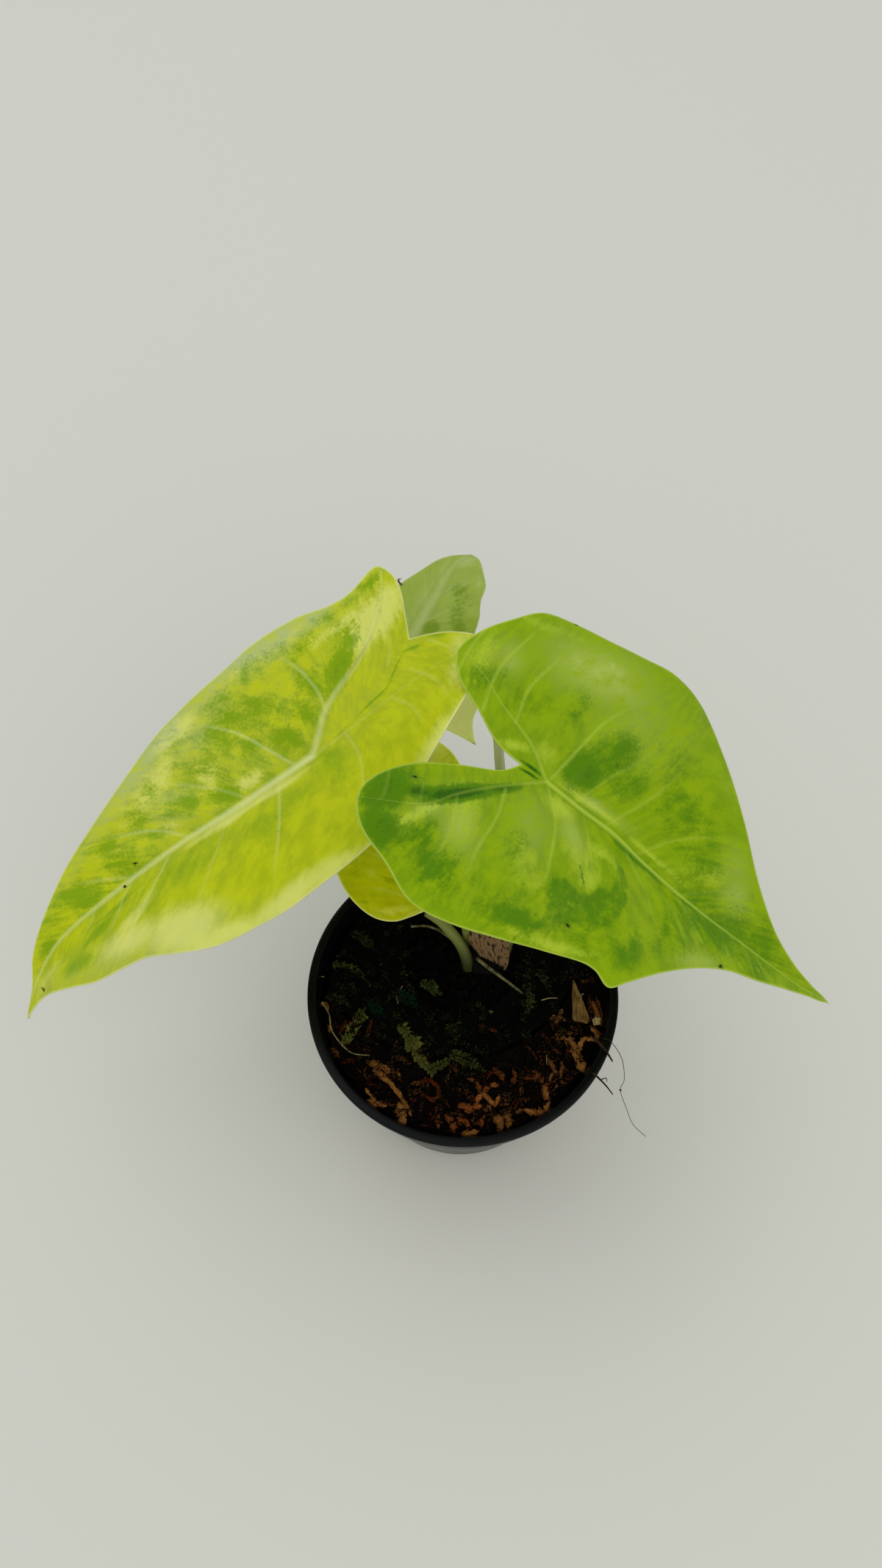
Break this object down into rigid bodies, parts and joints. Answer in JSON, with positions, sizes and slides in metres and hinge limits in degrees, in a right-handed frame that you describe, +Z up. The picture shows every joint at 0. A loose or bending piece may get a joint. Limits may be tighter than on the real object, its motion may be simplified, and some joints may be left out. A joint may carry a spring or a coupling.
{
  "type": "potted variegated alocasia longiloba",
  "caption": "Young variegated alocasia with arrow-shaped yellow-green leaves on thin stalks, in a small round dark plastic nursery pot topped with moss.",
  "frame": {"origin": "centre of the pot's flat underside", "axes": "+Z up along the pot's axis, -Y towards the side that the picture is taken from, +X to the right in the picture"},
  "size_m": [0.2054, 0.1564, 0.1451],
  "materials": {
    "pot_plastic": "satin gloss",
    "substrate": "matte, crumbly",
    "moss_green": "matte",
    "moss_brown": "matte",
    "crown": "matte",
    "sheath": "dry, papery",
    "leaf_chartreuse": "satin",
    "leaf_green": "satin",
    "leaf_grey_green": "satin",
    "leaf_olive": "satin",
    "leaf_pale_green": "satin",
    "stalk": "satin",
    "root": "matte",
    "bark": "matte"
  },
  "bodies": {
    "root": {"pot": "pot_plastic", "growing_medium": "substrate", "moss_green": "moss_green", "moss_brown": "moss_brown", "crown": "crown", "dried_sheath": "sheath", "blade_left": "leaf_chartreuse", "stalk_left": "stalk", "blade_right": "leaf_green", "stalk_right": "stalk", "blade_back": "leaf_grey_green", "stalk_back": "stalk", "blade_low": "leaf_olive", "stalk_low": "stalk", "blade_hanging": "leaf_pale_green", "stalk_hanging": "stalk", "pale_spike": "root", "root_left": "root", "root_curled": "root", "bark_flake": "bark"}
  },
  "joints": []
}
